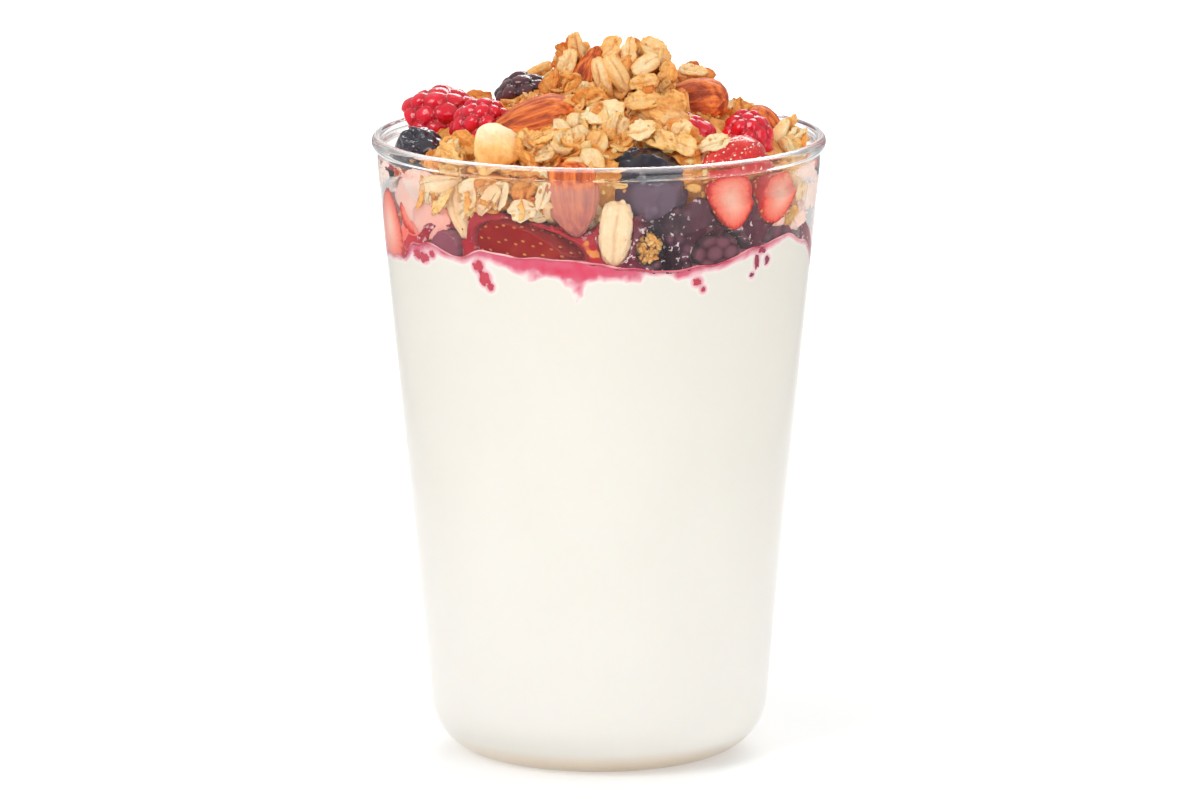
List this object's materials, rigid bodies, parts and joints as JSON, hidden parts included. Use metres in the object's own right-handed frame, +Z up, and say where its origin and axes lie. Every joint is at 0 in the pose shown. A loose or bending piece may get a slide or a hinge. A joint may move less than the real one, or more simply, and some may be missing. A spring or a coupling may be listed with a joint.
{
  "type": "glass of yogurt",
  "caption": "Tall tapered glass with a beaded rim, filled with plain yogurt under a juicy berry layer and heaped past the rim with berries, whole almonds and clumps of toasted oats.",
  "frame": {"origin": "on the axis of the glass, at the level of its foot", "axes": "+Z up along the axis of the glass, -Y towards the front of the picture, +X to its right"},
  "size_m": [0.088, 0.088, 0.1406],
  "materials": {
    "glass": "clear, polished",
    "yogurt": "smooth and moist",
    "compote": "wet",
    "granola": "toasted, rough, with a thin glaze",
    "raspberry": "moist drupelets",
    "bramble": "moist dark drupelets",
    "blueberry": "thin bloom over a shiny skin",
    "strawberry": "moist skin with seeds, pale cut faces",
    "almond": "finely wrinkled brown skin",
    "pale_nut": "smooth, blanched"
  },
  "bodies": {
    "root": {"glass": "glass", "yogurt": "yogurt", "berry_compote": "compote", "granola_heap": "granola", "oat_kernel_1": "granola", "oat_kernel_2": "granola", "raspberry_1": "raspberry", "raspberry_2": "raspberry", "raspberry_3": "raspberry", "raspberry_4": "raspberry", "raspberry_5": "raspberry", "raspberry_6": "raspberry", "bramble_1": "bramble", "bramble_2": "bramble", "bramble_3": "bramble", "bramble_4": "bramble", "bramble_5": "bramble", "blueberry_1": "blueberry", "blueberry_2": "blueberry", "blueberry_3": "blueberry", "blueberry_4": "blueberry", "blueberry_5": "blueberry", "strawberry_1": "strawberry", "strawberry_2": "strawberry", "strawberry_3": "strawberry", "strawberry_4": "strawberry", "strawberry_5": "strawberry", "strawberry_6": "strawberry", "strawberry_7": "strawberry", "strawberry_8": "strawberry", "strawberry_9": "strawberry", "almond_1": "almond", "almond_2": "almond", "almond_3": "almond", "almond_4": "almond", "almond_5": "almond", "almond_6": "almond", "almond_7": "almond", "nut_half_1": "pale_nut"}
  },
  "joints": []
}
